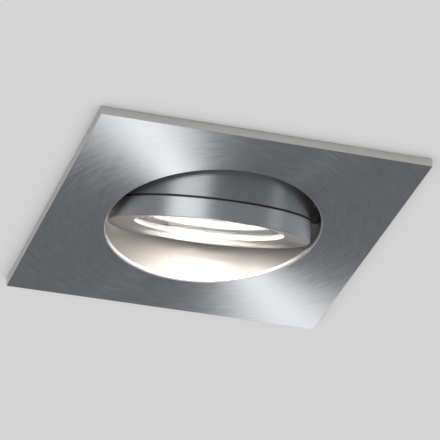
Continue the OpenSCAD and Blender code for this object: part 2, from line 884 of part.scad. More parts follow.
// Moulded box, open towards the lamp, with lid bosses, clamp posts and a saddle for the cable
module terminal_box() {
    inner_w = box_w - 2 * box_wall;
    floor_x = -box_back_x + box_wall;
    color(white_plastic)
        difference() {
            union() {
                difference() {
                    translate([-box_back_x, -box_w / 2, box_from])
                        cube([box_back_x - box_front_x, box_w, box_h]);
                    translate([floor_x, -inner_w / 2, box_from + box_wall])
                        cube([box_back_x, inner_w, box_h - 2 * box_wall]);
                }
                for (y = [-boss_y, boss_y])
                    rod_x(boss_r, floor_x - eps, -box_front_x, y, boss_z);
                for (y = [cable_y - post_spread, cable_y + post_spread])
                    rod_x(1.3, floor_x - eps, -box_front_x - 2.4, y, clamp_z);
                translate([floor_x - eps, cable_y - 3, clamp_z - 1.5])
                    cube([-cable_x - cable_d / 2 - floor_x, 6, 3]);
            }
            translate([-cable_x, cable_y, box_top - box_wall - eps])
                cylinder(r = cable_d / 2 + 0.9, h = box_wall + 2 * eps);
            for (k = [-0.5, 0.5])
                translate([-cable_x + k * lead_gap, lead_y, box_top - box_wall - eps])
                    cylinder(r = lead_r + 0.25, h = box_wall + 2 * eps, $fn = 32);
            for (y = [-boss_y, boss_y])
                rod_x(0.9, -box_back_x + 3, -box_front_x + 1, y, boss_z);
            for (y = [cable_y - post_spread, cable_y + post_spread])
                rod_x(0.85, -box_back_x + 3, -box_front_x, y, clamp_z);
            for (y = [-box_screw_y, box_screw_y])
                rod_x(1.6, -box_back_x - 1, floor_x + 1, y, box_screw_z);
        }
}

// Pan-headed screws from inside the box into the strap
module box_screws() {
    head_x = -box_back_x + box_wall;
    color(steel)
        for (y = [-box_screw_y, box_screw_y])
            difference() {
                union() {
                    rod_x(1.5, -strap_x - 0.8, head_x + 0.1, y, box_screw_z);
                    rod_x(2.6, head_x, head_x + 1.6, y, box_screw_z);
                }
                translate([head_x + 0.8, y - 2, box_screw_z - 0.35])
                    cube([2, 4, 0.7]);
            }
}

// Two-pole block: a wire channel through each pole and two screw wells in front of it
module terminal_block() {
    back_x = -box_back_x + box_wall;
    pole_y = block_w / 4;
    color([0.85, 0.85, 0.8])
        difference() {
            union() {
                translate([back_x, -block_w / 2, block_from])
                    cube([-block_front_x - back_x - 1.6, block_w, block_h]);
                for (y = [-pole_y, pole_y], z = [0.28, 0.72])
                    rod_x(2.5, -block_front_x - 1.7, -block_front_x, y, block_from + z * block_h);
            }
            for (y = [-pole_y, pole_y]) {
                translate([-34.6, y, block_from - 1])
                    cylinder(r = 1.4, h = block_h + 2, $fn = 32);
                for (z = [0.28, 0.72])
                    rod_x(1.6, -34.6, -block_front_x + 1, y, block_from + z * block_h);
            }
        }
}

module terminal_screws() {
    color([0.78, 0.66, 0.35])
        for (y = [-block_w / 4, block_w / 4], z = [0.28, 0.72])
            difference() {
                rod_x(1.5, -34, -block_front_x - 0.6, y, block_from + z * block_h);
                translate([-block_front_x - 1.2, y - 2, block_from + z * block_h - 0.25])
                    cube([2, 4, 0.5]);
            }
}

// Bar over the cable, screwed to the two posts
module cable_clamp() {
    color(white_plastic)
        difference() {
            translate([-box_front_x - 2.35, cable_y - post_spread - 1.5, clamp_z - 1.5])
                cube([1.2, 2 * post_spread + 2.6, 3]);
            for (y = [cable_y - post_spread, cable_y + post_spread])
                rod_x(0.9, -box_front_x - 3, -box_front_x, y, clamp_z);
        }
}

module clamp_screws() {
    head_x = -box_front_x - 1.15;
    color(steel)
        for (y = [cable_y - post_spread, cable_y + post_spread]) {
            rod_x(0.8, head_x - 6, head_x + 0.1, y, clamp_z);
            rod_x(1.4, head_x, head_x + 0.9, y, clamp_z);
        }
}

// Rubber inlet for the supply cable, gripped by the box's upper wall
module inlet_grommet() {
    groove = cable_d / 2 + 0.85;
    lip = cable_d / 2 + 1.7;
    color(black_rubber)
        translate([-cable_x, cable_y, box_top])
            rotate_extrude()
                polygon([
                    [cable_d / 2, -box_wall - 1.2], [lip - 0.3, -box_wall - 1.2], [lip, -box_wall],
                    [groove, -box_wall], [groove, 0], [lip, 0], [lip, 0.6],
                    [cable_d / 2 + 0.8, 1.6], [cable_d / 2, 1.6]
                ]);
}

// Flat lid with a tongue behind the box's upper edge
module terminal_lid() {
    color(white_plastic)
        difference() {
            union() {
                translate([-box_front_x, -box_w / 2, box_from])
                    cube([lid_t, box_w, box_h]);
                translate([-box_front_x - 0.9, -5, box_top - box_wall - 1.3])
                    cube([1, 3, 1.2]);
            }
            for (y = [-boss_y, boss_y])
                rod_x(1.1, -box_front_x - 1, -box_front_x + 3, y, boss_z);
        }
}

module lid_screws() {
    head_x = -box_front_x + lid_t;
    color(steel)
        for (y = [-boss_y, boss_y])
            difference() {
                union() {
                    rod_x(0.9, head_x - 7, head_x + 0.1, y, boss_z);
                    rod_x(1.8, head_x, head_x + 1.1, y, boss_z);
                }
                translate([head_x + 0.6, y - 2, boss_z - 0.25])
                    cube([2, 4, 0.5]);
            }
}

trim_plate();
weld_studs();
ceiling_gasket();
collar();
stud_washers();
stud_nuts();
front_clip_bracket();
rear_clip_bracket();
front_clip_arm();
rear_clip_arm();
front_clip_spring();
rear_clip_spring();
clip_pins();
front_arm_sleeve();
rear_arm_sleeve();
foot_rivets();
head_body();
ring_seal();
front_bezel();
front_glass();
glass_gasket();
pivot_screws();
pivot_spacers();
pivot_spring_washers();
lamp_circlip();
lamp_reflector();
lamp_cover_glass();
lamp_capsule();
lamp_filament();
lamp_base();
lamp_pins();
lamp_holder();
holder_leads();
terminal_bracket();
terminal_box();
box_screws();
terminal_block();
terminal_screws();
cable_clamp();
clamp_screws();
inlet_grommet();
terminal_lid();
lid_screws();
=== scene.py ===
"""Soffit downlight: a square brushed trim with a tilted round head, seen from below on a pale ceiling."""
import math

import bpy
from mathutils import Matrix, Vector


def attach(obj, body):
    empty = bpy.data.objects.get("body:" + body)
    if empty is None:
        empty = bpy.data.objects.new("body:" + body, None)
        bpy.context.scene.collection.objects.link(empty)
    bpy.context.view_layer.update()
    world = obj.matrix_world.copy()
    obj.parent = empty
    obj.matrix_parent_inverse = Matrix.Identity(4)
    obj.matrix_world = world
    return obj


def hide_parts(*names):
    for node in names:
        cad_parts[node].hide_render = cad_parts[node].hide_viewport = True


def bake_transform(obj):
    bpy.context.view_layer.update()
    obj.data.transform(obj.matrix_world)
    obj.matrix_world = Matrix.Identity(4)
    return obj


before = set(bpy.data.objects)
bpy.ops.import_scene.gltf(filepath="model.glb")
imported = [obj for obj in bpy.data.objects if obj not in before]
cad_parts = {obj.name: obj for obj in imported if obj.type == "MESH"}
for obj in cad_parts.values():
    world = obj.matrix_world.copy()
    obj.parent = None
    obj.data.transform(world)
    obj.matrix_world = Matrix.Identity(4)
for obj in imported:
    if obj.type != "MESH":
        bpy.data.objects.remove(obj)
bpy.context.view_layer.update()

# Camera. It stands low on the floor side, left of the light and turned a little, and looks up at the trim
# through a long lens.
view_right = Vector((0.94647, -0.32144, -0.02943))
view_up = Vector((-0.14275, -0.49859, 0.85500))
view_back = Vector((-0.28950, -0.80504, -0.51779))
view_turn = Matrix((view_right, view_up, view_back)).transposed().to_4x4()
stands_at = Vector((-0.26184, -0.73436, -0.47202))
camera_data = bpy.data.cameras.new("camera")
camera_data.lens = 250.3
camera_data.sensor_width = 36
camera_data.shift_x = -0.0007
camera_data.shift_y = 0.0014
camera = bpy.data.objects.new("camera", camera_data)
bpy.context.scene.collection.objects.link(camera)
camera.matrix_world = Matrix.Translation(stands_at) @ view_turn
bpy.context.scene.camera = camera
bpy.context.scene.view_settings.view_transform = "Standard"


# Ceiling. A plain painted board with a cut-out that the trim plate covers. Its upper side lets the eye
# through, so that the clips and the terminal box can be seen from above.
mm = 0.001


def only(piece):
    """Leaves this one object selected and active."""
    bpy.ops.object.select_all(action="DESELECT")
    piece.select_set(True)
    bpy.context.view_layer.objects.active = piece


def start(name):
    """Names the primitive that was just added and opens it for editing, all selected."""
    piece = bpy.context.active_object
    piece.name = piece.data.name = name
    only(piece)
    bpy.ops.object.mode_set(mode="EDIT")
    bpy.ops.mesh.select_all(action="SELECT")
    return piece


def new_material(name):
    """A node material: gives it, its nodes, its links and its shader."""
    material = bpy.data.materials.new(name)
    material.use_nodes = True
    tree = material.node_tree
    return material, tree.nodes, tree.links, tree.nodes["Principled BSDF"]


def feed(links, socket, value):
    """Sets a socket to a number or a vector, or links another socket to it."""
    if isinstance(value, bpy.types.NodeSocket):
        links.new(value, socket)
    elif value is not None:
        socket.default_value = value


def maths(nodes, links, operation, first, second=None, third=None):
    """A Math node fed with sockets or numbers; gives its output."""
    node = nodes.new("ShaderNodeMath")
    node.operation = operation
    for socket, value in zip(node.inputs, (first, second, third)):
        feed(links, socket, value)
    return node.outputs[0]


def noise(nodes, links, place, scale, detail=2, roughness=0.5):
    """A Noise Texture read at a place; gives its value."""
    node = nodes.new("ShaderNodeTexNoise")
    for name, value in (("Vector", place), ("Scale", scale), ("Detail", detail), ("Roughness", roughness)):
        feed(links, node.inputs[name], value)
    return node.outputs["Fac"]


def remapped(nodes, links, value, low, high, from_low=0, from_high=1):
    """A Map Range node that spreads a socket's values between two numbers; gives its output."""
    node = nodes.new("ShaderNodeMapRange")
    links.new(value, node.inputs["Value"])
    for name, limit in (("From Min", from_low), ("From Max", from_high), ("To Min", low), ("To Max", high)):
        node.inputs[name].default_value = limit
    return node.outputs["Result"]


def clear_where(nodes, links, shader, mask):
    """Makes a material fully clear where the mask is 1."""
    clear = nodes.new("ShaderNodeBsdfTransparent")
    either = nodes.new("ShaderNodeMixShader")
    links.new(mask, either.inputs["Fac"])
    links.new(shader.outputs["BSDF"], either.inputs[1])
    links.new(clear.outputs["BSDF"], either.inputs[2])
    links.new(either.outputs["Shader"], nodes["Material Output"].inputs["Surface"])


cutout_side, board_side = 99 * mm, 6.0
above_plate_edge = 0.2 * mm
bpy.ops.mesh.primitive_circle_add(
    vertices=4, radius=cutout_side / math.sqrt(2), location=(0, 0, above_plate_edge),
    rotation=(0, 0, math.pi / 4))
ceiling = start("ceiling_board")
bpy.ops.mesh.extrude_edges_move()
bpy.ops.transform.resize(value=(board_side / cutout_side,) * 3)
bpy.ops.mesh.select_all(action="SELECT")
bpy.ops.mesh.normals_make_consistent(inside=False)
bpy.ops.object.mode_set(mode="OBJECT")
if ceiling.data.polygons[0].normal.z > 0:
    ceiling.data.flip_normals()

paint, nodes, links, shader = new_material("ceiling_paint")
shader.inputs["Roughness"].default_value = 0.9
shader.inputs["Specular IOR Level"].default_value = 0.1
place = nodes.new("ShaderNodeTexCoord").outputs["Object"]
roller_marks = noise(nodes, links, place, scale=9)
tone = remapped(nodes, links, roller_marks, 0.83, 0.85)
paint_colour = nodes.new("ShaderNodeCombineColor")
for channel in ("Red", "Green", "Blue"):
    links.new(tone, paint_colour.inputs[channel])
links.new(paint_colour.outputs["Color"], shader.inputs["Base Color"])
upper_side = nodes.new("ShaderNodeNewGeometry").outputs["Backfacing"]
by_camera = nodes.new("ShaderNodeLightPath").outputs["Is Camera Ray"]
clear_where(nodes, links, shader, maths(nodes, links, "MULTIPLY", upper_side, by_camera))
ceiling.data.materials.append(paint)


# Studio. A pale surround, a grey card far below that the metal mirrors, and soft boxes: one below for the
# sheen across the trim, two beside the camera for the bands on the head, two above for the clips.
world = bpy.data.worlds.new("surround")
bpy.context.scene.world = world
world.use_nodes = True
surround = world.node_tree.nodes["Background"]
surround.inputs["Color"].default_value = (1, 1, 1, 1)
surround.inputs["Strength"].default_value = 0.80

card_side, card_height = 100, -4
bpy.ops.mesh.primitive_plane_add(size=card_side, location=(0, 0, card_height))
card = bpy.context.active_object
card.name = "grey_card"
card.visible_camera = card.visible_shadow = card.visible_diffuse = False
grey, nodes, links, shader = new_material("card_grey")
shader.inputs["Base Color"].default_value = (0, 0, 0, 1)
shader.inputs["Specular IOR Level"].default_value = 0
shader.inputs["Emission Color"].default_value = (0.94, 0.97, 1.0, 1)
shader.inputs["Emission Strength"].default_value = 0.225
card.data.materials.append(grey)


def new_light(name, kind, watts, colour=(1, 1, 1)):
    """A light that the camera doesn't see."""
    data = bpy.data.lights.new(name, kind)
    data.energy = watts
    data.color = colour
    light = bpy.data.objects.new(name, data)
    bpy.context.scene.collection.objects.link(light)
    light.visible_camera = False
    return light


for name, direction, distance, width, height, watts, lights_paint in (
        ("box_below", (0.0, 0.462, -0.887), 2.6, 0.5, 0.5, 13, False),
        ("box_left", (-0.68, -0.72, -0.15), 1.4, 1.1, 0.4, 9, False),
        ("box_right", (0.85, -0.45, -0.20), 1.5, 0.3, 0.5, 0.75, False),
        ("box_above_left", (-0.6, -0.5, 0.65), 1.3, 0.7, 0.7, 6, True),
        ("box_above_right", (0.6, 0.55, 0.6), 1.3, 0.7, 0.7, 6, True)):
    box = new_light(name, "AREA", watts)
    box.data.shape = "RECTANGLE"
    box.data.size, box.data.size_y = width, height
    box.visible_diffuse = lights_paint
    towards = Vector(direction).normalized()
    box.location = towards * distance
    box.rotation_euler = towards.to_track_quat("Z", "Y").to_euler()


# Trim plate. A sheet of aluminium, cut square with milled edges; its face is brushed in circles round the
# opening, and its back is stepped for the flange and the foam.
def combine(piece, other, operation):
    """Cuts another solid out of a piece, or joins it on, and deletes it."""
    only(piece)
    change = piece.modifiers.new("combine", "BOOLEAN")
    change.operation = operation
    change.solver = "EXACT"
    change.object = other
    bpy.ops.object.modifier_apply(modifier=change.name)
    bpy.data.objects.remove(other)


def drill(piece, r, low, high, centre=(0, 0), sides=192, r_low=None):
    """Drills a round or tapered hole upright through a piece, from one height to another."""
    bpy.ops.mesh.primitive_cone_add(
        vertices=sides, radius1=r if r_low is None else r_low, radius2=r, depth=high - low,
        location=(centre[0], centre[1], (low + high) / 2))
    combine(piece, bpy.context.active_object, "DIFFERENCE")


def finish_edges(piece, width, segments=2, angle=35, sharp=35):
    """Breaks the sharp edges with a fine bevel and shades the rest smooth; flat faces stay flat."""
    only(piece)
    if width:
        change = piece.modifiers.new("broken_edges", "BEVEL")
        change.width = width
        change.segments = segments
        change.limit_method = "ANGLE"
        change.angle_limit = math.radians(angle)
        bpy.ops.object.modifier_apply(modifier=change.name)
    bpy.ops.object.shade_smooth_by_angle(angle=math.radians(sharp))
    change = piece.modifiers.new("flat_faces", "WEIGHTED_NORMAL")
    change.keep_sharp = True
    bpy.ops.object.modifier_apply(modifier=change.name)


def settle(piece, finishes, body, slot, *nodes):
    """Gives a finished piece its materials and its body, and hides the CAD nodes it stands for; the slot is
    not used.
    """
    for finish in finishes:
        piece.data.materials.append(finish)
    only(piece)
    bpy.ops.object.transform_apply(location=True, rotation=True, scale=True)
    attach(piece, body)
    if nodes:
        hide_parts(*nodes)


def vector_maths(nodes, links, operation, first, second=None):
    """A Vector Math node fed with sockets or vectors; gives the node."""
    node = nodes.new("ShaderNodeVectorMath")
    node.operation = operation
    for socket, value in zip(node.inputs, (first, second)):
        feed(links, socket, value)
    return node


def new_group(name, inputs, outputs):
    """A node group that reads a position and some numbers: gives its tree, input node and output node."""
    tree = bpy.data.node_groups.new(name, "ShaderNodeTree")
    tree.interface.new_socket("Position", in_out="INPUT", socket_type="NodeSocketVector")
    for in_out, sockets in (("INPUT", inputs), ("OUTPUT", outputs)):
        for socket in sockets:
            tree.interface.new_socket(socket, in_out=in_out, socket_type="NodeSocketFloat")
    return tree, tree.nodes.new("NodeGroupInput"), tree.nodes.new("NodeGroupOutput")


def grain_group():
    """Fine turned or brushed lines round the Z axis: streaks of tone, and ridges for the bump."""
    tree, given, made = new_group("turned_grain", ("Lines", "Length"), ("Streaks", "Ridges"))
    nodes, links = tree.nodes, tree.links
    parts = nodes.new("ShaderNodeSeparateXYZ")
    links.new(given.outputs["Position"], parts.inputs[0])
    flat = nodes.new("ShaderNodeCombineXYZ")
    links.new(parts.outputs["X"], flat.inputs["X"])
    links.new(parts.outputs["Y"], flat.inputs["Y"])
    radius = vector_maths(nodes, links, "LENGTH", flat.outputs[0]).outputs["Value"]
    outward = nodes.new("ShaderNodeSeparateXYZ")
    links.new(vector_maths(nodes, links, "NORMALIZE", flat.outputs[0]).outputs["Vector"], outward.inputs[0])
    rise = 0.83
    across = maths(nodes, links, "MULTIPLY_ADD", parts.outputs["Z"], rise, radius)
    across = maths(nodes, links, "MULTIPLY", across, given.outputs["Lines"])
    results = []
    for detail, finer in ((3, 1.0), (5, 2.3)):
        place = nodes.new("ShaderNodeCombineXYZ")
        for way in ("X", "Y"):
            along = maths(nodes, links, "MULTIPLY", outward.outputs[way], given.outputs["Length"])
            links.new(along, place.inputs[way])
        links.new(maths(nodes, links, "MULTIPLY", across, finer), place.inputs["Z"])
        results.append(noise(nodes, links, place.outputs[0], scale=1, detail=detail, roughness=0.6))
    streaks = remapped(nodes, links, results[0], low=0, high=1, from_low=0.3, from_high=0.7)
    links.new(streaks, made.inputs["Streaks"])
    links.new(results[1], made.inputs["Ridges"])
    return tree


def grouped(nodes, links, group, position, **values):
    """A shader node group, fed with a position and numbers; gives its outputs."""
    node = nodes.new("ShaderNodeGroup")
    node.node_tree = group
    links.new(position, node.inputs["Position"])
    for name, value in values.items():
        node.inputs[name].default_value = value
    return node.outputs


def mixed(nodes, links, first, second, factor):
    """Two colours mixed by a factor; gives the colour."""
    node = nodes.new("ShaderNodeMix")
    node.data_type = "RGBA"
    node.inputs["A"].default_value = (*first, 1)
    node.inputs["B"].default_value = (*second, 1)
    links.new(factor, node.inputs["Factor"])
    return node.outputs["Result"]


def varied(nodes, links, colour, change, factor):
    """A colour made darker and lighter by a share of itself."""
    darker, lighter = ([min(1, channel * share) for channel in colour] for share in (1 - change, 1 + change))
    return mixed(nodes, links, darker, lighter, factor)


def raised(nodes, links, shader, heights, depth):
    """Gives a shader a relief of the heights, as deep as it says."""
    node = nodes.new("ShaderNodeBump")
    node.inputs["Distance"].default_value = depth
    links.new(heights, node.inputs["Height"])
    links.new(node.outputs["Normal"], shader.inputs["Normal"])


turned_grain = grain_group()


def turned_metal(name, colour, roughness, spread, lines, length, streak, depth,
                 centre=(0, 0, 0), axis=(0, 0, 1)):
    """Aluminium with circular tool lines: they turn the highlight and streak its gloss and tone."""
    material, nodes, links, shader = new_material(name)
    place = nodes.new("ShaderNodeTexCoord").outputs["Object"]
    local = vector_maths(nodes, links, "SUBTRACT", place, centre).outputs["Vector"]
    upright = nodes.new("ShaderNodeVectorRotate")
    upright.rotation_type = "X_AXIS"
    upright.inputs["Angle"].default_value = math.atan2(axis[1], axis[2])
    links.new(local, upright.inputs["Vector"])
    round_the_axis = vector_maths(nodes, links, "CROSS_PRODUCT", axis, local).outputs["Vector"]
    in_world = nodes.new("ShaderNodeVectorTransform")
    in_world.vector_type = "VECTOR"
    in_world.convert_from = "OBJECT"
    in_world.convert_to = "WORLD"
    links.new(round_the_axis, in_world.inputs["Vector"])
    links.new(in_world.outputs["Vector"], shader.inputs["Tangent"])
    grain = grouped(nodes, links, turned_grain, upright.outputs["Vector"], Lines=lines, Length=length)
    links.new(varied(nodes, links, colour, streak, grain["Streaks"]), shader.inputs["Base Color"])
    gloss = remapped(nodes, links, grain["Streaks"], roughness * (1 - streak), roughness * (1 + streak))
    links.new(gloss, shader.inputs["Roughness"])
    raised(nodes, links, shader, grain["Ridges"], depth)
    shader.inputs["Metallic"].default_value = 1
    shader.inputs["Anisotropic"].default_value = spread
    shader.inputs["Anisotropic Rotation"].default_value = 0.25
    return material


plate_finish = turned_metal(
    "brushed_face", (0.60, 0.61, 0.63), roughness=0.46, spread=0.96, lines=1100, length=7, streak=0.13,
    depth=0.003 * mm)
edge_finish = turned_metal(
    "milled_edge", (0.58, 0.57, 0.55), roughness=0.34, spread=0.3, lines=2600, length=3, streak=0.06,
    depth=0.002 * mm)
# The lip finish is turned like the face but much lighter in tone. The lighter tone is painted light for the
# lamp's light on the opening's wall, the bores and the lips.
lip_finish_painted_light = turned_metal(
    "turned_lip_painted_light", (0.86, 0.85, 0.84), roughness=0.52, spread=0.3, lines=2400, length=7, streak=0.05,
    depth=0.001 * mm)

plate_side, plate_t = 100 * mm, 2.6 * mm
opening_r, pocket_r, foam_step_r = 32.15 * mm, 41.5 * mm, 45.9 * mm
pocket_under, foam_step_under, above_plate, round_sides = -1.25 * mm, -0.8 * mm, 1 * mm, 256
chamfer_r, chamfer_end_r, chamfer_from, chamfer_to = 32.65 * mm, 32.10 * mm, -2.7 * mm, -2.2 * mm
bpy.ops.mesh.primitive_cube_add(size=plate_side, location=(0, 0, -plate_t / 2))
plate = start("brushed_plate")
bpy.ops.transform.resize(value=(1, 1, plate_t / plate_side))
bpy.ops.object.mode_set(mode="OBJECT")
drill(plate, opening_r, -4 * mm, above_plate, sides=round_sides)
drill(plate, chamfer_end_r, chamfer_from, chamfer_to, sides=round_sides, r_low=chamfer_r)
drill(plate, pocket_r, pocket_under, above_plate)
drill(plate, foam_step_r, foam_step_under, above_plate)
finish_edges(plate, 0.07 * mm)
# Upright faces at the plate's rim take the milled edge. Those round the opening take the lip finish, whose
# lighter tone is painted lamp light.
edge_metal, lip_painted_light = 1, 2
for face in plate.data.polygons:
    middle, upright = face.center, abs(face.normal.z) < 0.9
    if upright and max(abs(middle.x), abs(middle.y)) > plate_side / 2 - mm:
        face.material_index = edge_metal
    elif upright and math.hypot(middle.x, middle.y) < opening_r + mm:
        face.material_index = lip_painted_light
settle(plate, (plate_finish, edge_finish, lip_finish_painted_light), "fixture", "brushed_aluminium", "trim_plate")


# Collar. A tube spun from thin aluminium sheet, with the flange that is bolted into the plate's pocket and
# two holes for the pivot screws. The lamp lights its far wall.
def traced(name, points):
    """A line of edges from point to point, open for editing with its last point selected."""
    bpy.ops.mesh.primitive_plane_add(size=mm)
    piece = start(name)
    bpy.ops.mesh.merge(type="CENTER")
    bpy.ops.transform.translate(value=points[0])
    for here, there in zip(points, points[1:]):
        bpy.ops.mesh.extrude_vertices_move(TRANSFORM_OT_translate={"value": there - here})
    return piece


def turned(name, profile, steps=160, closed=True, sweep=360, begin=0):
    """Traces a profile of (radius, height) in mm and spins it round the Z axis. The operator turns
    clockwise, so the profile starts at the far end of the sweep."""
    facing = Matrix.Rotation(math.radians(begin + sweep), 3, "Z")
    points = [facing @ Vector((r * mm, 0, z * mm)) for r, z in profile]
    piece = traced(name, points + points[:1] if closed else points)
    bpy.ops.mesh.select_all(action="SELECT")
    if sweep < 360:
        bpy.ops.mesh.remove_doubles(threshold=0.001 * mm)
        bpy.ops.mesh.select_all(action="SELECT")
        bpy.ops.mesh.edge_face_add()
    bpy.ops.mesh.spin(steps=steps, angle=math.radians(sweep), center=(0, 0, 0), axis=(0, 0, 1))
    bpy.ops.mesh.select_all(action="SELECT")
    bpy.ops.mesh.remove_doubles(threshold=0.001 * mm)
    bpy.ops.mesh.normals_make_consistent(inside=False)
    bpy.ops.object.mode_set(mode="OBJECT")
    return piece


def bore_across(piece, r, x, reach, z):
    """Drills a hole along X through a piece, as far as it says to either side of x."""
    bpy.ops.mesh.primitive_cylinder_add(
        vertices=48, radius=r, depth=2 * reach, location=(x, 0, z), rotation=(0, math.pi / 2, 0))
    combine(piece, bpy.context.active_object, "DIFFERENCE")


pivot = Vector((0, 0, 7.7 * mm))
tube_in, tube_out, tube_top, fold = 33.5, 34.6, 18, 0.3
flange_r, flange_under, flange_top = 41.3, -1.25, -0.05
collar_finish = turned_metal(
    "spun_wall", (0.50, 0.485, 0.47), roughness=0.52, spread=0.8, lines=2400, length=7, streak=0.05,
    depth=0.001 * mm)
collar = turned("recess_collar", [
    (tube_in, flange_under), (flange_r, flange_under), (flange_r, flange_top), (tube_out + fold, flange_top),
    (tube_out, flange_top + fold), (tube_out, tube_top), (tube_in, tube_top)], steps=192)
bore_across(collar, r=2.05 * mm, x=0, reach=36 * mm, z=pivot.z)
finish_edges(collar, 0.15 * mm)
settle(collar, (collar_finish,), "fixture", "brushed_aluminium", "collar")


# Studs, washers, nuts and foam. Four steel studs are welded to the plate's back and hold the collar's flange
# down; a black foam ring round the flange seals the plate to the ceiling.
def marks_group():
    """What every surface shows close up: soft mottling, hair scratches and a fine grain."""
    tree, given, made = new_group(
        "surface_marks", ("Mottle Scale", "Grain Scale"), ("Mottle", "Scratches", "Grain"))
    nodes, links = tree.nodes, tree.links
    place = given.outputs["Position"]
    links.new(noise(nodes, links, place, given.outputs["Mottle Scale"], detail=4), made.inputs["Mottle"])
    drawn = nodes.new("ShaderNodeMapping")
    drawn.inputs["Rotation"].default_value = (0.4, 0.7, 0.5)
    drawn.inputs["Scale"].default_value = (60, 1400, 300)
    links.new(place, drawn.inputs["Vector"])
    hair = noise(nodes, links, drawn.outputs["Vector"], scale=1, detail=1)
    hair_level, hair_width = 0.62, 0.02
    away = maths(nodes, links, "ABSOLUTE", maths(nodes, links, "SUBTRACT", hair, hair_level))
    links.new(remapped(nodes, links, away, low=1, high=0, from_high=hair_width), made.inputs["Scratches"])
    grain = noise(nodes, links, place, given.outputs["Grain Scale"], detail=5, roughness=0.65)
    links.new(grain, made.inputs["Grain"])
    return tree


surface_marks = marks_group()


def plain_finish(name, colour, roughness, metallic=0, mottle=0.08, mottle_scale=180, grain_scale=2600,
                 relief=0.004, scratches=0.12):
    """A finish with no direction: mottled tone and gloss, scratches and a fine relief in mm."""
    material, nodes, links, shader = new_material(name)
    shader.inputs["Metallic"].default_value = metallic
    place = nodes.new("ShaderNodeTexCoord").outputs["Object"]
    marks = grouped(nodes, links, surface_marks, place,
                    **{"Mottle Scale": mottle_scale, "Grain Scale": grain_scale})
    links.new(varied(nodes, links, colour, mottle, marks["Mottle"]), shader.inputs["Base Color"])
    grain_gloss = 0.1
    worn = maths(nodes, links, "MULTIPLY_ADD", marks["Scratches"], scratches, roughness - grain_gloss / 2)
    gloss = maths(nodes, links, "MULTIPLY_ADD", marks["Grain"], grain_gloss, worn)
    links.new(gloss, shader.inputs["Roughness"])
    raised(nodes, links, shader, marks["Grain"], relief * mm)
    return material


def dress(name, node, width, body, slot, finish, segments=2, angle=35):
    """A copy of a CAD part: its triangles joined into whole faces, its sharp edges broken with a bevel."""
    bpy.ops.object.select_all(action="DESELECT")
    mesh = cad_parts[node].data.copy()
    mesh.materials.clear()
    piece = bpy.data.objects.new(name, mesh)
    bpy.context.scene.collection.objects.link(piece)
    bpy.context.view_layer.objects.active = piece
    start(name)
    bpy.ops.mesh.customdata_custom_splitnormals_clear()
    bpy.ops.mesh.remove_doubles(threshold=0.0005 * mm)
    bpy.ops.mesh.dissolve_limited(angle_limit=math.radians(0.5))
    bpy.ops.object.mode_set(mode="OBJECT")
    finish_edges(piece, width * mm, segments, angle, angle)
    settle(piece, (finish,), body, slot, node)


def section(inner, outer, low, high):
    """The four corners of a flat ring's or disc's section, in mm."""
    return [(inner, low), (outer, low), (outer, high), (inner, high)]


zinc = plain_finish(
    "zinc_plate", (0.60, 0.62, 0.64), roughness=0.36, metallic=1, mottle=0.16, mottle_scale=320,
    grain_scale=5000, relief=0.003)
foam = plain_finish(
    "closed_cell_foam", (0.022, 0.022, 0.023), roughness=0.85, mottle=0.4, mottle_scale=900,
    grain_scale=1900, relief=0.06, scratches=0)
rubber = plain_finish(
    "black_rubber", (0.020, 0.020, 0.021), roughness=0.62, mottle=0.25, mottle_scale=260,
    grain_scale=3200, relief=0.008, scratches=0.1)

stud_r, stud_tip_r, stud_top, stud_circle = 1.5, 1.15, 4.55, 37.9
thread_cut, half_pitch, thread_from = 0.17, 0.25, 0.3
thread = [(stud_r - thread_cut * (k % 2), thread_from + half_pitch * k) for k in range(17)]
for number, degrees in enumerate((35, 145, 215, 325)):
    stud = turned("weld_stud_%d" % (number + 1), [(0, flange_under), (stud_r, flange_under), (stud_r, 0.2)]
                  + thread + [(stud_tip_r, stud_top), (0, stud_top)], steps=32, closed=False)
    finish_edges(stud, 0, sharp=50)
    around = math.radians(degrees)
    stud.location = (stud_circle * mm * math.cos(around), stud_circle * mm * math.sin(around), 0)
    settle(stud, (zinc,), "fixture", "zinc_steel", *(("weld_studs",) if number == 0 else ()))
dress("stud_washers_", "stud_washers", 0.06, "fixture", "zinc_steel", zinc)
dress("stud_nuts_", "stud_nuts", 0.08, "fixture", "zinc_steel", zinc)
foam_ring = turned("foam_ring", section(inner=41.55, outer=45.8, low=-0.8, high=-0.02), steps=192)
finish_edges(foam_ring, 0.18 * mm, segments=3)
settle(foam_ring, (foam,), "fixture", "black_rubber", "ceiling_gasket")


# Head body. A ring turned from bar on a lathe: a spigot with three bayonet lugs and a rubber seal below, the
# bore and shoulder for the lamp inside, a thin wall above, and a flat with a tapped hole at each side for the
# pivot screws.
tilt = math.radians(25.2)
head_axis = Vector((0, -math.sin(tilt), math.cos(tilt)))
pivot_above_face = 10.3


def head_profile(points):
    """Heights above the tilt axis, given as heights above the bezel's face."""
    return [(r, h - pivot_above_face) for r, h in points]


def settle_on_head(piece, finishes, body, slot, *nodes):
    """Tilts a finished piece of the level head into its place and settles it."""
    piece.rotation_euler = (tilt, 0, 0)
    piece.location = pivot
    settle(piece, finishes, body, slot, *nodes)


lathe_lines = {"lines": 3000, "length": 6, "depth": 0.0008 * mm, "centre": pivot, "axis": head_axis}
